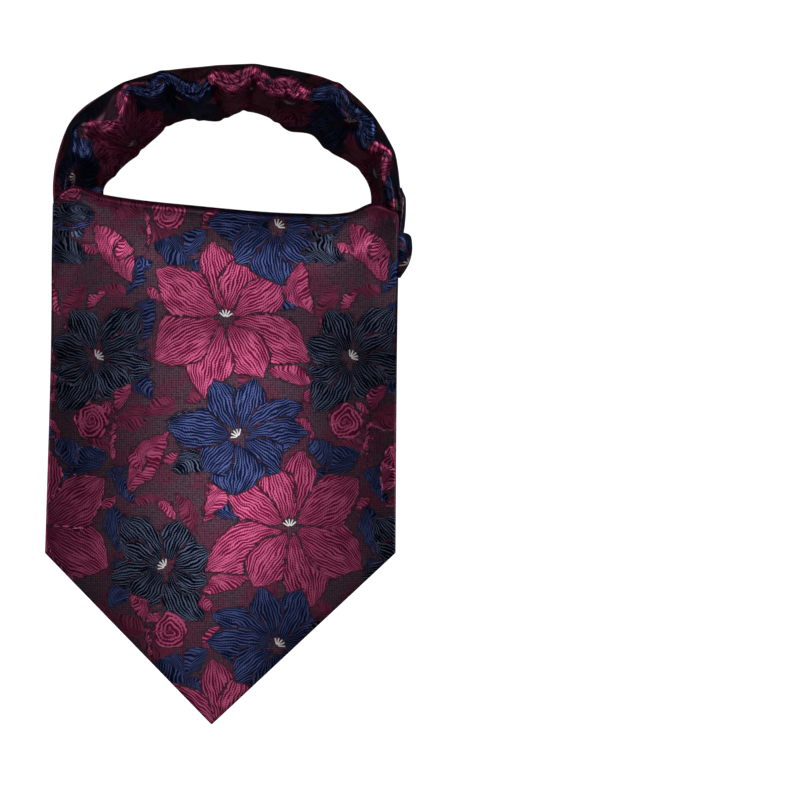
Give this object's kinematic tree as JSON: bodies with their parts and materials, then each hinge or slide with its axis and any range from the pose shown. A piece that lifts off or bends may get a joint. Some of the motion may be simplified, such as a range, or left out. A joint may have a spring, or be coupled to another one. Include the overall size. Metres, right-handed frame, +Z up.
{
  "type": "silk cravat",
  "caption": "Tied day cravat of floral silk jacquard lying flat: wide pointed blade over a hidden under blade, half knot, and a gathered neck band standing in a loop.",
  "frame": {"origin": "middle of the bounding box's underside, on the surface the cravat lies on", "axes": "+Z up from the surface, +Y from the blade's tip towards the neck loop, +X to the right as seen from above"},
  "size_m": [0.1572, 0.2816, 0.035],
  "materials": {
    "silk_face": "silk jacquard, soft sheen",
    "silk_band": "silk jacquard, gathered, strong sheen on the crest",
    "silk_under": "silk jacquard, plain underside"
  },
  "bodies": {
    "root": {"front_blade": "silk_face", "under_blade": "silk_under", "neck_band": "silk_band", "crossing": "silk_under", "wrap_upper": "silk_band", "wrap_lower": "silk_band"}
  },
  "joints": []
}
